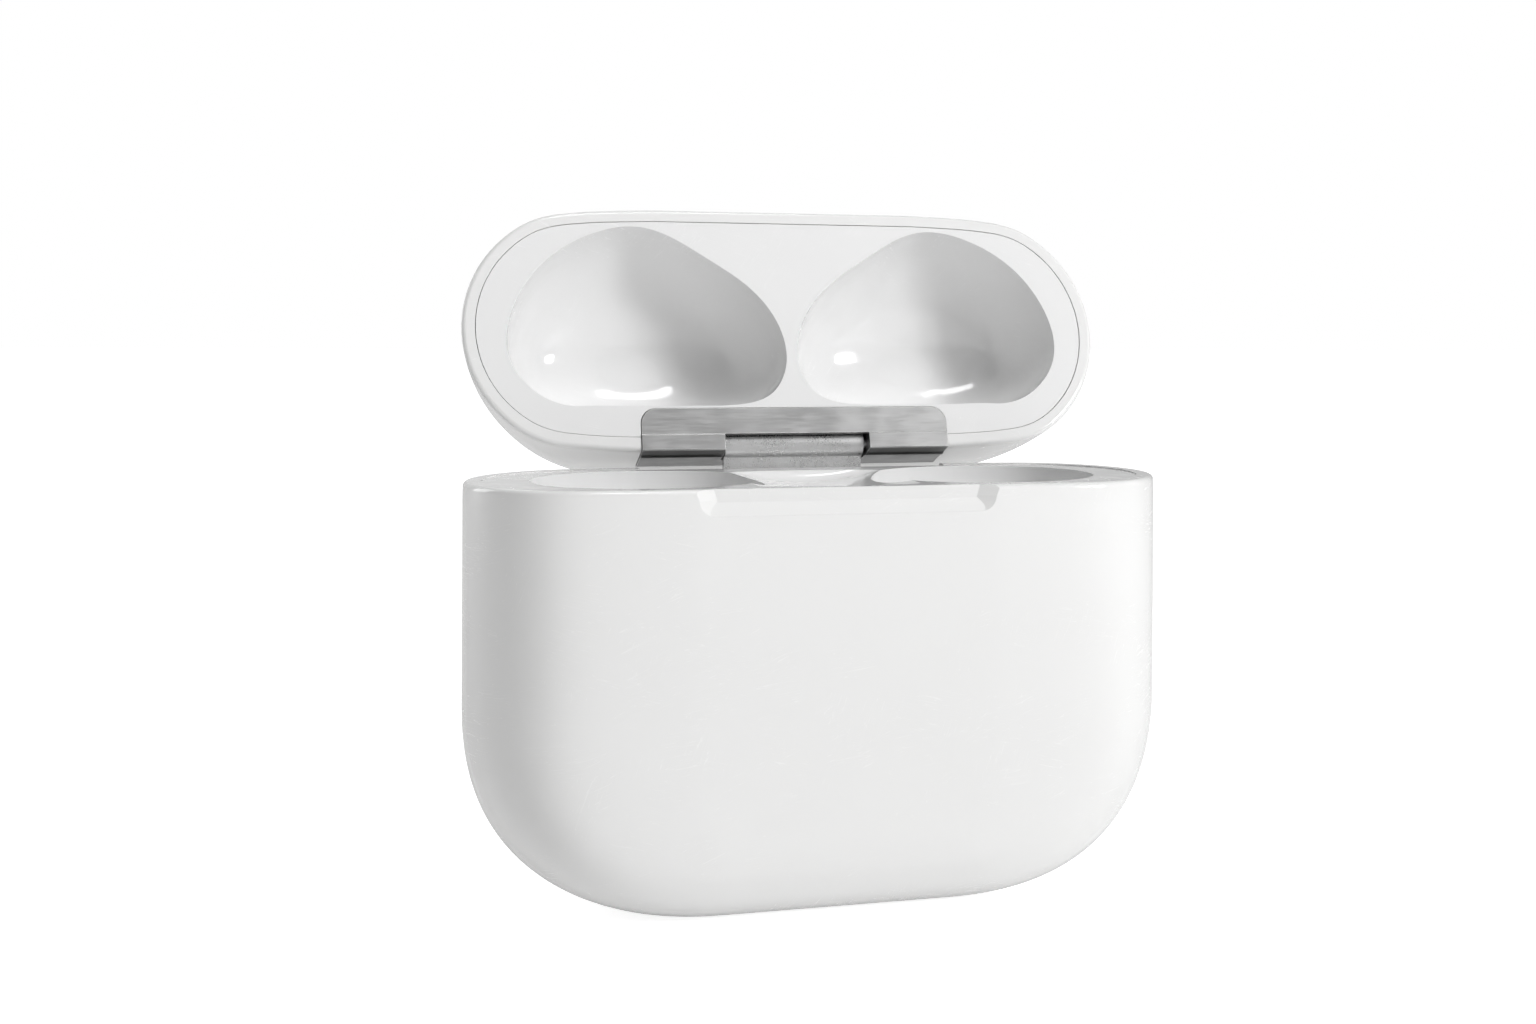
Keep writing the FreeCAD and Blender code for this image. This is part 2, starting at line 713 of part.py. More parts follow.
coil_disc = rod("CoilDisc", ("0", "Sizes.coil_back - Sizes.coil_thick", "Sizes.coil_centre_z"),
                "Sizes.coil_radius", "Sizes.coil_thick", "y")
coil_hole = rod("CoilHole", ("0", "Sizes.coil_back - 2 * Sizes.coil_thick", "Sizes.coil_centre_z"),
                "Sizes.coil_bore", "3 * Sizes.coil_thick", "y")
subpart(cut("ChargeCoil", coil_disc, coil_hole), "charging_coil")
ferrite = rod("Ferrite",
              ("0", "Sizes.coil_back - Sizes.coil_thick - Sizes.ferrite_thick - 0.02",
               "Sizes.coil_centre_z"),
              "Sizes.coil_radius + 0.3", "Sizes.ferrite_thick", "y")
subpart(ferrite, "coil_ferrite_sheet")

ring = []
for side in (0, 180):
    for step in (-48, -28, -9, 9, 28, 48):
        angle = math.radians(side + step)
        magnet = doc.addObject("Part::Box", "RingMagnet%d_%d" % (side, step + 90))
        magnet.Length, magnet.Width, magnet.Height = 1.3, 0.9, 3.0
        spin = Rotation(Vector(0, 1, 0), -math.degrees(angle))
        radius = dim("magnet_ring")
        centre = Vector(radius * math.cos(angle), dim("coil_back") - 0.5,
                        dim("coil_centre_z") + radius * math.sin(angle))
        magnet.Placement = Placement(centre - spin.multVec(Vector(0.65, 0.45, 1.5)), spin)
        ring.append(magnet)
subpart(group("AlignmentMagnets", ring), "alignment_magnets")

# ------------------------------------------------------- magnets at the seam and wells

closing = box("ClosingMagnet", ("-2.6", "-Sizes.case_depth / 2 + 1.5", "Sizes.seam_height - Sizes.closing_drop"),
              ("5.2", "1.8", "2.0"))
subpart(closing, "body_closing_magnet")
hold = []
for side in (-1, 1):
    hold.append(box("HoldMagnet%d" % (side + 1),
                    ("%s * 3.9 - 0.75" % side, "-1.6",
                     "Sizes.seam_height - Sizes.seam_gap / 2 - Sizes.cradle_drop - Sizes.cradle_block"),
                    ("1.5", "3.2", "2.4")))
subpart(group("EarbudMagnets", hold), "earbud_holding_magnets")
lid_magnet_low = liner_low + dim("rim_plate") + 0.02
lid_magnet = room(-1.8, 1.8, -HALF_DEPTH + 1.6, -HALF_DEPTH + 3.4, lid_magnet_low, lid_magnet_low + 2.4)
subpart(solid_feature("LidMagnet", lid_magnet, lid_open), "lid_closing_magnet")
hall = box("HallSensor", ("4.6", "-Sizes.case_depth / 2 + 1.6", "Sizes.seam_height - Sizes.hall_drop"),
           ("1.6", "0.7", "1.6"))
subpart(hall, "lid_hall_sensor")

# ------------------------------------------------------- charging contacts

for side, name in ((-1, "left"), (1, "right")):
    pins = []
    for step in (-1, 1):
        foot = rod("Contact%s%d" % (name, step + 1),
                   ("%d * Sizes.stem_x + %d * 1.2" % (side, step), "Sizes.stem_y",
                    "Sizes.stem_floor + 0.02"),
                   "0.5", "0.9", "z")
        pins.append(foot)
    subpart(group("Contacts_" + name, pins), "charge_contacts_" + name)

# ------------------------------------------------------- pairing button

button_body = doc.addObject("PartDesign::Body", "PairingButton")
sketch = button_body.newObject("Sketcher::SketchObject", "ButtonProfile")
origin_yz = [o for o in button_body.Origin.OriginFeatures if o.Role == "YZ_Plane"][0]
sketch.AttachmentSupport = [(origin_yz, "")]
sketch.MapMode = "FlatFace"
CAP_PROUD = 0.05
cap_face = HALF_DEPTH - CAP_PROUD
flange_back = HALF_DEPTH - dim("shell_wall") - 0.75
flange_face = flange_back + 0.6
radius = dim("button_radius")
centre_z = dim("button_z")
outline = [
    (flange_back, 0.0),
    (cap_face - 0.06, 0.0),
    (cap_face, radius - 0.15),
    (cap_face - 0.15, radius),
    (flange_face, radius),
    (flange_face, radius + 0.6),
    (flange_back, radius + 0.6),
]
for (ya, ra), (yb, rb) in zip(outline, outline[1:] + outline[:1]):
    sketch.addGeometry(Part.LineSegment(Vector(ya, centre_z + ra, 0), Vector(yb, centre_z + rb, 0)), False)
axis_line = sketch.addGeometry(
    Part.LineSegment(Vector(flange_back, centre_z, 0), Vector(cap_face, centre_z, 0)), True)
revolve = button_body.newObject("PartDesign::Revolution", "ButtonTurn")
revolve.Profile = sketch
revolve.ReferenceAxis = (sketch, ["Axis0"])
revolve.Angle = 360.0
subpart(button_body, "pairing_button")

switch = rod("ButtonSwitch", ("0", "Sizes.case_depth / 2 - Sizes.shell_wall - 1.65", "Sizes.button_z"),
             "1.5", "0.55", "y")
subpart(switch, "button_dome_switch")
switch_plate = box("SwitchPlate", ("-2.9", "Sizes.case_depth / 2 - Sizes.shell_wall - 2.2",
                                   "Sizes.button_z - 2.2"), ("5.8", "0.5", "4.4"))
subpart(switch_plate, "button_bracket")

# ------------------------------------------------------- charging port

low = dim("shell_wall") + 0.1
port_outer = port_slot(dim("port_wall"), low, dim("port_depth"))
port_inner = port_slot(0.0, low - 1, dim("port_depth") + 1 - 0.4)
subpart(solid_feature("PortShell", port_outer.cut(port_inner)), "port_shell")
tongue = box("PortTongue", ("-3.3", "-0.35", "Sizes.shell_wall + 0.8"),
             ("6.6", "0.7", "Sizes.port_depth - 1.1"))
tongue_bars = []
for side in (-1, 1):
    y_start = "0.36" if side > 0 else "-0.46"
    for index in range(6):
        tongue_bars.append(box("PortContact%d_%d" % (side + 1, index),
                               ("%s" % (-2.65 + index), y_start, "Sizes.shell_wall + 1.4"),
                               ("0.3", "0.1", "3.2")))
subpart(tongue, "port_tongue")
subpart(group("PortContacts", tongue_bars), "port_contacts")
clip = box("PortBracket", ("-6.2", "-2.4", "Sizes.shell_wall + Sizes.port_depth + 0.15"),
           ("12.4", "4.8", "0.5"))
subpart(clip, "port_bracket")
port_flex_flat = box("PortFlexFlat", ("1.0", "-6.6", "Sizes.shell_wall + 5.2"), ("5.0", "4.6", "0.15"))
port_flex_rise = box("PortFlexRise", ("1.0", "-6.75", "Sizes.shell_wall + 5.2"), ("5.0", "0.15", "1.9"))
subpart(fuse("PortFlex", [port_flex_flat, port_flex_rise]), "port_flex")

# ------------------------------------------------------- checks and export

doc.recompute()
bad = [o.Label for o in doc.Objects if "Invalid" in o.State or "Error" in o.State]
if bad:
    raise RuntimeError("objects with errors: " + ", ".join(bad))
os.makedirs("parts", exist_ok=True)
for obj in PARTS:
    shape = obj.Shape
    if shape.isNull() or not shape.isValid():
        raise RuntimeError("bad shape: " + obj.Label)
    if shape.Volume <= 0 or not shape.Solids:
        raise RuntimeError("no solid: " + obj.Label)
    shape.exportStep(os.path.join("parts", obj.Label + ".step"))
    print("%-24s solids %d volume %9.2f mm3" % (obj.Label, len(shape.Solids), shape.Volume))
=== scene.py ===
import math
import bpy
from mathutils import Matrix, Vector


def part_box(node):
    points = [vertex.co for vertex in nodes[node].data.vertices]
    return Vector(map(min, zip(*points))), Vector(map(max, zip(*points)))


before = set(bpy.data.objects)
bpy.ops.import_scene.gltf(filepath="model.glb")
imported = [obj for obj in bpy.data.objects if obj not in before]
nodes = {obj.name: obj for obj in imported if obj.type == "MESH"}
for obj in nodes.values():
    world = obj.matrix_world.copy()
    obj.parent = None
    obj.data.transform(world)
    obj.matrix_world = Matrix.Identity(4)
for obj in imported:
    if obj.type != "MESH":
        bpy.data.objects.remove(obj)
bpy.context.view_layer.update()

MM = 0.001
TO_MM = 1000.0

# ------------------------------------------------------------ node helpers


def put(tree, kind, settings=None, **inputs):
    """New node; a socket given as an input is linked, any other value is set."""
    node = tree.nodes.new(kind)
    for key, value in (settings or {}).items():
        setattr(node, key, value)
    for key, value in inputs.items():
        socket = node.inputs[key.replace("_", " ")]
        if isinstance(value, bpy.types.NodeSocket):
            tree.links.new(value, socket)
        else:
            socket.default_value = value
    return node


def calc(tree, operation, first, second=0.0):
    """Math node of two values or sockets."""
    node = tree.nodes.new("ShaderNodeMath")
    node.operation = operation
    for slot, value in ((0, first), (1, second)):
        if isinstance(value, bpy.types.NodeSocket):
            tree.links.new(value, node.inputs[slot])
        else:
            node.inputs[slot].default_value = value
    return node.outputs[0]


def remap(tree, value, low, high, to_low=0.0, to_high=1.0):
    """Smoothly maps value from low..high to to_low..to_high, held inside those."""
    node = put(tree, "ShaderNodeMapRange", {"interpolation_type": "SMOOTHSTEP"}, Value=value)
    for key, number in (("From Min", low), ("From Max", high), ("To Min", to_low), ("To Max", to_high)):
        node.inputs[key].default_value = number
    return node.outputs["Result"]


def blend_colour(tree, factor, first, second):
    """Colour between first and second."""
    node = tree.nodes.new("ShaderNodeMix")
    node.data_type = "RGBA"
    for slot, value in ((0, factor), (6, first), (7, second)):
        if isinstance(value, bpy.types.NodeSocket):
            tree.links.new(value, node.inputs[slot])
        else:
            node.inputs[slot].default_value = value
    return node.outputs[2]


def place(tree, turn=(0.0, 0.0, 0.0), stretch=(1.0, 1.0, 1.0), shift=(0.0, 0.0, 0.0)):
    """Object coordinates in millimetres, turned and then stretched."""
    coords = put(tree, "ShaderNodeTexCoord").outputs["Object"]
    turned = put(tree, "ShaderNodeMapping", Vector=coords, Rotation=turn)
    scaled = put(tree, "ShaderNodeMapping", Vector=turned.outputs[0], Location=shift,
                 Scale=tuple(TO_MM * s for s in stretch))
    return scaled.outputs[0]


def noise(tree, where, scale, detail=2.0, rough=0.5):
    node = put(tree, "ShaderNodeTexNoise", Vector=where, Scale=scale, Detail=detail, Roughness=rough)
    return node.outputs["Fac"]


def start(name, metallic=0.0, **constants):
    """Material with one Principled shader; constants go on the shader's own sockets."""
    material = bpy.data.materials.new(name)
    material.use_nodes = True
    tree = material.node_tree
    shader = tree.nodes["Principled BSDF"]
    shader.inputs["Metallic"].default_value = metallic
    for key, value in constants.items():
        shader.inputs[key.replace("_", " ")].default_value = value
    return material, tree, shader


def bump(tree, shader, layers, edge=0.0):
    """Chains bump layers (height, depth in millimetres) over softened edges."""
    normal = None
    if edge:
        normal = put(tree, "ShaderNodeBevel", {"samples": 4}, Radius=edge * MM).outputs[0]
    for height, depth in layers:
        node = put(tree, "ShaderNodeBump", Strength=1.0, Distance=depth * MM, Height=height)
        if normal is not None:
            tree.links.new(normal, node.inputs["Normal"])
        normal = node.outputs[0]
    tree.links.new(normal, shader.inputs["Normal"])


# ------------------------------------------------------------ surface detail

SCRATCH_WIDTH = 0.012
SCRATCH_PATCHES = 0.16
# steps in the noise that keep one direction's scratches apart from the next
LINE_STEP = (7.3, 3.1, 1.7)
PATCH_STEP = (5.0, 0.0, 0.0)
PATCH_START = (0.0, 9.0, 2.0)


def hairlines(tree, angles, length=5.0, spacing=0.22, cover=0.54):
    """Sparse fine scratches: thin bands of noise drawn out along a few directions."""
    total = None
    for index, angle in enumerate(angles):
        where = place(tree, (0.0, math.radians(angle), 0.0),
                      (1.0 / length, 1.0 / length, 1.0 / spacing),
                      tuple(step * index for step in LINE_STEP))
        band = calc(tree, "ABSOLUTE", calc(tree, "SUBTRACT", noise(tree, where, 1.0, 1.0), 0.5))
        line = remap(tree, band, 0.0, SCRATCH_WIDTH, 1.0, 0.0)
        shift = tuple(begin + step * index for begin, step in zip(PATCH_START, PATCH_STEP))
        clouds = noise(tree, place(tree, shift=shift), SCRATCH_PATCHES, 1.0)
        patch = remap(tree, clouds, cover, cover + 0.1)
        masked = calc(tree, "MULTIPLY", line, patch)
        total = masked if total is None else calc(tree, "MAXIMUM", total, masked)
    return total


def specks(tree, spacing, radius, share):
    """Few round grains of dust: one cell in share of a jittered grid holds one."""
    cells = put(tree, "ShaderNodeTexVoronoi", Vector=place(tree), Scale=1.0 / spacing)
    grain = remap(tree, cells.outputs["Distance"], radius / spacing * 0.6, radius / spacing, 1.0, 0.0)
    pick = put(tree, "ShaderNodeSeparateColor", Color=cells.outputs["Color"]).outputs[0]
    chosen = calc(tree, "LESS_THAN", pick, share)
    return calc(tree, "MULTIPLY", grain, chosen)


# ------------------------------------------------------------ materials

WHITE = (1.0, 1.0, 1.0, 1.0)
DUST = (0.09, 0.085, 0.08, 1.0)
DUST_SPACING = 2.6
DUST_RADIUS = 0.09
# how much a scratch lightens and roughens the plastic
SCRATCH_LIGHT = 0.09
SCRATCH_ROUGH = 0.2
SMUDGE_ROUGH = 0.12
# how far edges are rounded for the light, in millimetres
PLASTIC_EDGE = 0.06
STEEL_EDGE = 0.05
SMALL_EDGE = 0.04
# reach of the mask for the painted edge highlight, in millimetres, and the near-white colour of that
# painted highlight
EDGE_HIGHLIGHT_REACH = 0.07
EDGE_HIGHLIGHT_STEEL = (0.98, 0.98, 0.98, 1.0)


def darker(colour, share):
    """Colour with its channels cut to share, opaque."""
    return tuple(channel * share for channel in colour[:3]) + (1.0,)


def gloss_white(name, colour, scratch_angles, rough=0.13, speck_share=0.0):
    """Moulded gloss plastic: slight flow in the white, handling smudges, hairlines and dust."""
    material, tree, shader = start(name, IOR=1.49, Coat_Weight=0.35, Coat_Roughness=0.04)
    flow = noise(tree, place(tree), 0.07, 3.0)
    body = blend_colour(tree, flow, darker(colour, 0.985), colour)
    lines = hairlines(tree, scratch_angles)
    wear_and_edge_highlight = blend_colour(tree, calc(tree, "MULTIPLY", lines, SCRATCH_LIGHT), body, WHITE)
    if speck_share:
        grains = specks(tree, DUST_SPACING, DUST_RADIUS, speck_share)
        wear_and_edge_highlight = blend_colour(tree, grains, wear_and_edge_highlight, DUST)
    tree.links.new(wear_and_edge_highlight, shader.inputs["Base Color"])
    smudge = remap(tree, noise(tree, place(tree), 0.23, 4.0, 0.6), 0.45, 0.75,
                   rough, rough + SMUDGE_ROUGH)
    roughness = calc(tree, "ADD", smudge, calc(tree, "MULTIPLY", lines, SCRATCH_ROUGH))
    tree.links.new(roughness, shader.inputs["Roughness"])
    ripple = noise(tree, place(tree), 0.5, 2.0)
    bump(tree, shader, [(ripple, 0.004), (calc(tree, "SUBTRACT", 1.0, lines), 0.002)],
         edge=PLASTIC_EDGE)
    return material


def edge_highlight_mask(tree, reach):
    """Mask for a painted edge highlight: 1 on outer edges, 0 on flats, how far the rounded normal
    leaves the true one.
    """
    true = put(tree, "ShaderNodeNewGeometry").outputs["Normal"]
    rounded = put(tree, "ShaderNodeBevel", {"samples": 6}, Radius=reach * MM).outputs[0]
    match = put(tree, "ShaderNodeVectorMath", {"operation": "DOT_PRODUCT"})
    tree.links.new(true, match.inputs[0])
    tree.links.new(rounded, match.inputs[1])
    return remap(tree, match.outputs["Value"], 0.995, 0.93, 0.0, 1.0)


def satin_steel(name, colour, rough, along="x", grain_depth=0.004, edge_highlight=0.0, under=1.0):
    """Fine-brushed or blasted steel: drawn-out grain, rubbed patches and a painted highlight on the
    outer edges.

    under is how much of the colour is left on faces that look down, a painted shade on those faces.
    """
    material, tree, shader = start(name, 1.0, IOR=2.5)
    stretch = {"x": (0.5, 9.0, 9.0), "z": (9.0, 9.0, 0.5), "all": (8.0, 8.0, 8.0)}[along]
    grain = noise(tree, place(tree, stretch=stretch), 1.0, 4.0, 0.65)
    patches = noise(tree, place(tree), 0.5, 3.0)
    shade = calc(tree, "ADD", calc(tree, "MULTIPLY", grain, 0.6), calc(tree, "MULTIPLY", patches, 0.4))
    body = blend_colour(tree, remap(tree, shade, 0.35, 0.65), darker(colour, 0.9), colour)
    # painted shade: faces that look down get a darker colour
    if under < 1.0:
        facing = put(tree, "ShaderNodeTexCoord").outputs["Normal"]
        height = put(tree, "ShaderNodeSeparateXYZ", Vector=facing).outputs[2]
        body = blend_colour(tree, remap(tree, height, -0.35, -0.75), body, darker(colour, under))
    # painted highlight: outer edges are lightened towards near-white steel, in place of the light the
    # edges catch
    if edge_highlight:
        wear_and_edge_highlight = calc(tree, "MULTIPLY", edge_highlight_mask(tree, EDGE_HIGHLIGHT_REACH), edge_highlight)
        body = blend_colour(tree, wear_and_edge_highlight, body, EDGE_HIGHLIGHT_STEEL)
    tree.links.new(body, shader.inputs["Base Color"])
    roughness = remap(tree, calc(tree, "ADD", grain, calc(tree, "MULTIPLY", patches, 0.5)),
                      0.5, 1.0, rough, rough + 0.15)
    tree.links.new(roughness, shader.inputs["Roughness"])
    bump(tree, shader, [(grain, grain_depth)], edge=STEEL_EDGE)
    return material


def board_mask(name, colour, trace):
    """Solder mask with straight copper tracks under it."""
    material, tree, shader = start(name, IOR=1.5, Coat_Weight=0.2)
    upright = place(tree, (math.radians(90), 0.0, 0.0))
    bricks = put(tree, "ShaderNodeTexBrick", Vector=upright, Scale=0.6)
    bricks.inputs["Color1"].default_value = colour
    bricks.inputs["Color2"].default_value = darker(colour, 0.9)
    bricks.inputs["Mortar"].default_value = trace
    bricks.inputs["Mortar Size"].default_value = 0.06
    tree.links.new(bricks.outputs["Color"], shader.inputs["Base Color"])
    weave = noise(tree, place(tree), 3.0, 3.0)
    tree.links.new(remap(tree, weave, 0.3, 0.7, 0.35, 0.55), shader.inputs["Roughness"])
    bump(tree, shader, [(bricks.outputs["Fac"], 0.02), (weave, 0.01)], edge=STEEL_EDGE)
    return material


def wound_wire(name, colour, centre):
    """Flat spiral of enamelled wire, as rings about the coil's middle."""
    material, tree, shader = start(name, 0.9)
    coords = put(tree, "ShaderNodeTexCoord").outputs["Object"]
    about = put(tree, "ShaderNodeMapping", Vector=coords, Location=tuple(-c * TO_MM for c in centre),
                Scale=(TO_MM, TO_MM, TO_MM))
    rings = put(tree, "ShaderNodeTexWave", {"wave_type": "RINGS", "rings_direction": "Y"},
                Vector=about.outputs[0], Scale=0.8)
    wire = blend_colour(tree, rings.outputs["Fac"], darker(colour, 0.4), colour)
    tree.links.new(wire, shader.inputs["Base Color"])
    tree.links.new(remap(tree, rings.outputs["Fac"], 0.0, 1.0, 0.5, 0.25), shader.inputs["Roughness"])
    bump(tree, shader, [(rings.outputs["Fac"], 0.1)])
    return material


def plain_fine(name, colour, rough, metallic=0.0, grain_scale=2.0, depth=0.006, **constants):
    """Small inner part: even colour with fine grain and softened edges."""
    material, tree, shader = start(name, metallic, **constants)
    grain = noise(tree, place(tree), grain_scale, 4.0, 0.6)
    body = blend_colour(tree, remap(tree, grain, 0.35, 0.65), darker(colour, 0.8), colour)
    tree.links.new(body, shader.inputs["Base Color"])
    tree.links.new(remap(tree, grain, 0.3, 0.7, rough, rough + 0.15), shader.inputs["Roughness"])
    bump(tree, shader, [(grain, depth)], edge=SMALL_EDGE)
    return material


def middle(node):
    """Middle of a node's box."""
    low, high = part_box(node)
    return tuple((a + b) / 2.0 for a, b in zip(low, high))


SHELL_WHITE = (0.90, 0.90, 0.895, 1.0)
INNER_WHITE = (0.905, 0.905, 0.905, 1.0)
BARREL_STEEL = (0.70, 0.70, 0.70, 1.0)
LEAF_STEEL = (0.49, 0.49, 0.49, 1.0)
PIN_STEEL = (0.58, 0.58, 0.60, 1.0)
CAN_STEEL = (0.66, 0.66, 0.66, 1.0)
PLATE_STEEL = (0.6, 0.6, 0.6, 1.0)
PORT_STEEL = (0.55, 0.55, 0.56, 1.0)
AMBER_FILM = (0.62, 0.27, 0.05, 1.0)
BLACK_MOULD = (0.03, 0.03, 0.033, 1.0)
NICKEL = (0.62, 0.60, 0.57, 1.0)
GOLD = (0.83, 0.60, 0.24, 1.0)
POUCH_FOIL = (0.70, 0.71, 0.73, 1.0)
LED_CREAM = (0.85, 0.85, 0.72, 1.0)
GUIDE_CLEAR = (0.86, 0.89, 0.9, 1.0)
COPPER = (0.72, 0.36, 0.2, 1.0)
FERRITE = (0.045, 0.045, 0.05, 1.0)
TONGUE_BLACK = (0.035, 0.035, 0.038, 1.0)


def nickel(name):
    return plain_fine(name, NICKEL, rough=0.22, metallic=1.0, grain_scale=3.0, depth=0.003)


def gold(name):
    return plain_fine(name, GOLD, rough=0.16, metallic=1.0, grain_scale=6.0, depth=0.002)


def amber_film(name):
    return plain_fine(name, AMBER_FILM, rough=0.3, Coat_Weight=0.3)


LOOKS = {
    "body_shell": gloss_white("gloss_white_body", SHELL_WHITE, scratch_angles=(8.0, 24.0, -14.0, 71.0),
                              rough=0.12, speck_share=0.012),
    "lid_shell": gloss_white("gloss_white_lid", SHELL_WHITE, scratch_angles=(15.0, -35.0),
                             rough=0.12, speck_share=0.02),
    "earbud_cradle": gloss_white("cradle_white", INNER_WHITE, scratch_angles=(40.0, -5.0),
                                 rough=0.1, speck_share=0.02),
    "lid_liner": gloss_white("liner_white", INNER_WHITE, scratch_angles=(52.0, -20.0),
                             rough=0.1, speck_share=0.035),
    "pairing_button": gloss_white("button_white", SHELL_WHITE, scratch_angles=(10.0, 60.0), rough=0.16),
    # on the steel parts below, the edge setting paints a highlight along their outer edges
    "hinge_body_bracket": satin_steel("steel_barrel", BARREL_STEEL, rough=0.24, along="all",
                                      grain_depth=0.006, edge_highlight=0.5),
    # the leaf's last setting paints shade on its faces that look down
    "hinge_lid_leaf": satin_steel("steel_leaf", LEAF_STEEL, rough=0.3, along="x",
                                  grain_depth=0.003, edge_highlight=0.9, under=0.47),
    "hinge_pin": satin_steel("steel_pin", PIN_STEEL, rough=0.25),
    "board_shield": satin_steel("steel_can", CAN_STEEL, rough=0.3, along="z"),
    "button_dome_switch": satin_steel("steel_dome", BARREL_STEEL, rough=0.2, along="all",
                                      grain_depth=0.002, edge_highlight=0.4),
    "button_bracket": satin_steel("steel_button_plate", PLATE_STEEL, rough=0.35),
    "port_shell": satin_steel("steel_port", PORT_STEEL, rough=0.28, along="z"),
    "port_bracket": satin_steel("steel_port_clip", PORT_STEEL, rough=0.35),
    "battery_cell": plain_fine("foil_pouch", POUCH_FOIL, rough=0.28, metallic=0.9,
                               grain_scale=1.2, depth=0.03),
    "battery_guard_board": board_mask("mask_small", colour=(0.03, 0.16, 0.08, 1.0),
                                      trace=(0.10, 0.30, 0.14, 1.0)),
    "logic_board": board_mask("mask_main", colour=(0.02, 0.13, 0.07, 1.0),
                              trace=(0.09, 0.28, 0.13, 1.0)),
    "battery_flex": amber_film("film_amber_battery"),
    "port_flex": amber_film("film_amber_port"),
    "board_chips": plain_fine("chip_mould", BLACK_MOULD, rough=0.5, grain_scale=5.0),
    "lid_hall_sensor": plain_fine("sensor_mould", BLACK_MOULD, rough=0.5, grain_scale=5.0),
    "status_led": plain_fine("led_mould", LED_CREAM, rough=0.25),
    "led_light_guide": plain_fine("guide_clear", GUIDE_CLEAR, rough=0.05,
                                  Transmission_Weight=0.85, IOR=1.49),
    "charging_coil": wound_wire("wire_copper", COPPER, middle("charging_coil")),
    "coil_ferrite_sheet": plain_fine("ferrite", FERRITE, rough=0.6, metallic=0.2, grain_scale=3.0),
    "alignment_magnets": nickel("nickel_ring"),
    "body_closing_magnet": nickel("nickel_body"),
    "earbud_holding_magnets": nickel("nickel_wells"),
    "lid_closing_magnet": nickel("nickel_lid"),
    "charge_contacts_left": gold("gold_left"),
    "charge_contacts_right": gold("gold_right"),
    "port_contacts": gold("gold_port"),
    "port_tongue": plain_fine("tongue_black", TONGUE_BLACK, rough=0.4, grain_scale=5.0),
}
for name, material in LOOKS.items():
    for slot in nodes[name].material_slots:
        slot.material = material

# ------------------------------------------------------------ floor

# light the floor gives off, to the camera and to the object
FLOOR_GLOW = 0.75
FLOOR_BOUNCE = 0.12
FLOOR_HALF = 4.0
FLOOR_SHADES = ((0.80, 0.80, 0.80, 1.0), (0.82, 0.82, 0.82, 1.0))


def floor_material():
    """Plain pale sweep, lit enough to read as white but a softer light on the object."""
    material, tree, shader = start("floor_white")
    ray = put(tree, "ShaderNodeLightPath").outputs["Is Camera Ray"]
    glow = remap(tree, ray, 0.0, 1.0, FLOOR_BOUNCE, FLOOR_GLOW)
    tree.links.new(glow, shader.inputs["Emission Strength"])
    shader.inputs["Emission Color"].default_value = WHITE
    fine = noise(tree, place(tree), 0.05, 2.0)
    pale = blend_colour(tree, fine, *FLOOR_SHADES)
    tree.links.new(pale, shader.inputs["Base Color"])
    tree.links.new(remap(tree, fine, 0.3, 0.7, 0.7, 0.8), shader.inputs["Roughness"])
    return material


floor_mesh = bpy.data.meshes.new("floor")
floor_mesh.from_pydata(
    [(-FLOOR_HALF, -FLOOR_HALF, 0.0), (FLOOR_HALF, -FLOOR_HALF, 0.0),
     (FLOOR_HALF, FLOOR_HALF, 0.0), (-FLOOR_HALF, FLOOR_HALF, 0.0)], [], [(0, 1, 2, 3)])
floor = bpy.data.objects.new("floor", floor_mesh)
floor_mesh.materials.append(floor_material())
bpy.context.scene.collection.objects.link(floor)

# ------------------------------------------------------------ light

scene = bpy.context.scene
scene.view_settings.view_transform = "Standard"

# Radiance of the white room, and of its shaded part at the left front. A spread is the
# range of the dot product over which the room changes from one level to the other.
ROOM_LEVEL = 0.63
ROOM_SHADE = 0.0
SHADE_TOWARDS = (-0.85, -0.52, 0.05)
SHADE_SPREAD = (0.1, 0.9)
# share of the room's radiance that is left towards the right
RIGHT_SHARE = 0.42
RIGHT_TOWARDS = (0.96, 0.10, 0.10)
RIGHT_SPREAD = (0.2, 0.8)


def studio_world():
    """White room, darker at the left front and at the right; the camera sees it plain white."""
    world = bpy.data.worlds.new("studio")
    world.use_nodes = True
    tree = world.node_tree
    tree.nodes.clear()
    direction = put(tree, "ShaderNodeTexCoord").outputs["Generated"]

    def towards(way):
        facing = put(tree, "ShaderNodeVectorMath", {"operation": "DOT_PRODUCT"})
        tree.links.new(direction, facing.inputs[0])
        facing.inputs[1].default_value = way
        return facing.outputs["Value"]

    level = remap(tree, towards(SHADE_TOWARDS), *SHADE_SPREAD, ROOM_LEVEL, ROOM_SHADE)
    share = remap(tree, towards(RIGHT_TOWARDS), *RIGHT_SPREAD, 1.0, RIGHT_SHARE)
    level = calc(tree, "MULTIPLY", level, share)
    room = put(tree, "ShaderNodeBackground", Color=WHITE, Strength=level)
    seen = put(tree, "ShaderNodeBackground", Color=WHITE, Strength=1.0)
    ray = put(tree, "ShaderNodeLightPath").outputs["Is Camera Ray"]
    mix = put(tree, "ShaderNodeMixShader", Fac=ray)
    tree.links.new(room.outputs[0], mix.inputs[1])
    tree.links.new(seen.outputs[0], mix.inputs[2])
    put(tree, "ShaderNodeOutputWorld", Surface=mix.outputs[0])
    return world


scene.world = studio_world()
CENTRE = Vector((0.0, 0.0, 0.03))


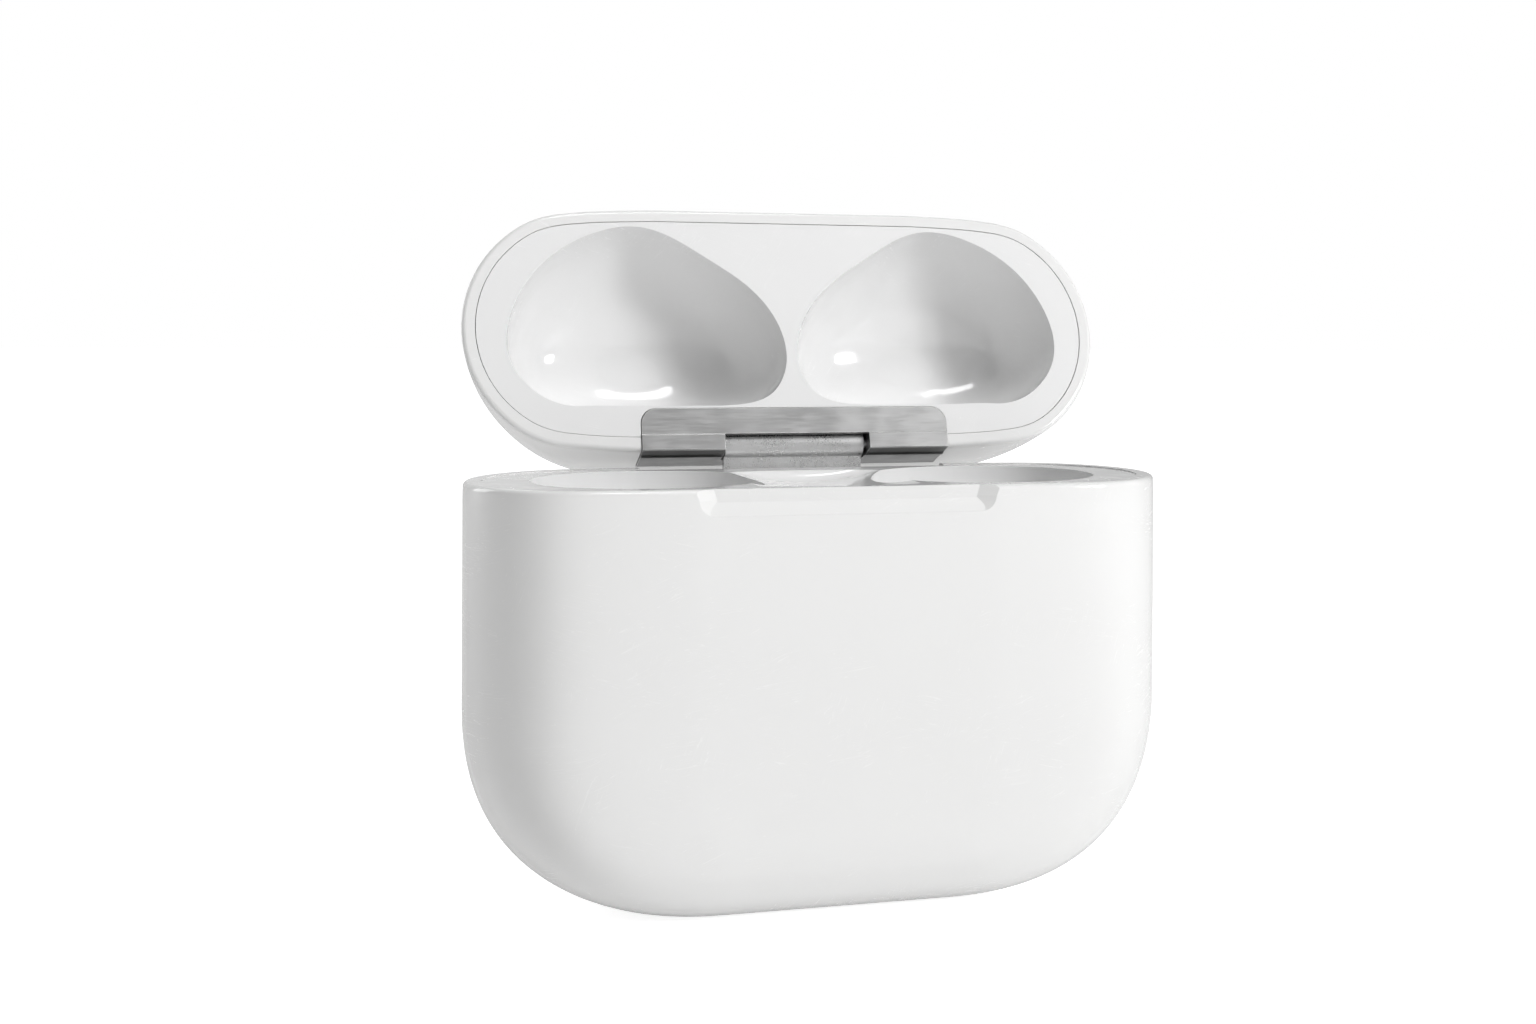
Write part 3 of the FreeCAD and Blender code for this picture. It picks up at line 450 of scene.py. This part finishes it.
def softbox(name, azimuth, height, distance, size, power):
    """Rectangular area light facing the object; azimuth 0 is the front, 90 the right."""
    light = bpy.data.lights.new(name, "AREA")
    light.shape = "RECTANGLE"
    light.size, light.size_y = size
    light.energy = power
    lamp = bpy.data.objects.new(name, light)
    turn = math.radians(azimuth)
    rise = math.radians(height)
    away = Vector((math.sin(turn) * math.cos(rise), -math.cos(turn) * math.cos(rise), math.sin(rise)))
    lamp.location = CENTRE + away * distance
    lamp.rotation_euler = (-away).to_track_quat("-Z", "Y").to_euler()
    scene.collection.objects.link(lamp)
    return lamp


# name, azimuth and height in degrees, distance and size in metres, power in watts
SOFTBOXES = [
    ("key_right", 43.0, 20.0, 0.50, (0.10, 0.12), 1.11),
    ("top_front", 8.0, 68.0, 0.50, (0.16, 0.10), 0.56),
    ("rim_left", -125.0, 15.0, 0.50, (0.20, 0.30), 0.46),
    ("strip_right", 95.0, 20.0, 0.40, (0.03, 0.20), 0.04),
]
for settings in SOFTBOXES:
    softbox(*settings)

# ------------------------------------------------------------ camera

# angles in radians; azimuth is negative towards the left of the object's front
LOOK_AT_HEIGHT = 30.0 * MM
AZIMUTH = -0.2506
ELEVATION = 0.001
ROLL = -0.0044
DISTANCE = 134.49 * MM
SLIDE_RIGHT = 3.906 * MM
SLIDE_UP = 13.015 * MM
SENSOR = 36.0
LENS = 40.243
SHIFT = (-0.0662, -0.1159)


def studio_camera():
    """Level camera at the left front, slid and rolled a little off the object's middle."""
    back = Vector((math.sin(AZIMUTH) * math.cos(ELEVATION),
                   -math.cos(AZIMUTH) * math.cos(ELEVATION), math.sin(ELEVATION)))
    right = Vector((math.cos(AZIMUTH), math.sin(AZIMUTH), 0.0))
    up = back.cross(right)
    data = bpy.data.cameras.new("camera")
    data.sensor_width = SENSOR
    data.lens = LENS
    data.shift_x, data.shift_y = SHIFT
    data.clip_start = 1.0 * MM
    data.clip_end = 20.0
    camera = bpy.data.objects.new("camera", data)
    place_at = (Vector((0.0, 0.0, LOOK_AT_HEIGHT)) + back * DISTANCE
                + right * SLIDE_RIGHT + up * SLIDE_UP)
    side = right * math.cos(ROLL) - up * math.sin(ROLL)
    top = right * math.sin(ROLL) + up * math.cos(ROLL)
    camera.matrix_world = Matrix((
        (side.x, top.x, back.x, place_at.x),
        (side.y, top.y, back.y, place_at.y),
        (side.z, top.z, back.z, place_at.z),
        (0.0, 0.0, 0.0, 1.0)))
    scene.collection.objects.link(camera)
    return camera


scene.camera = studio_camera()
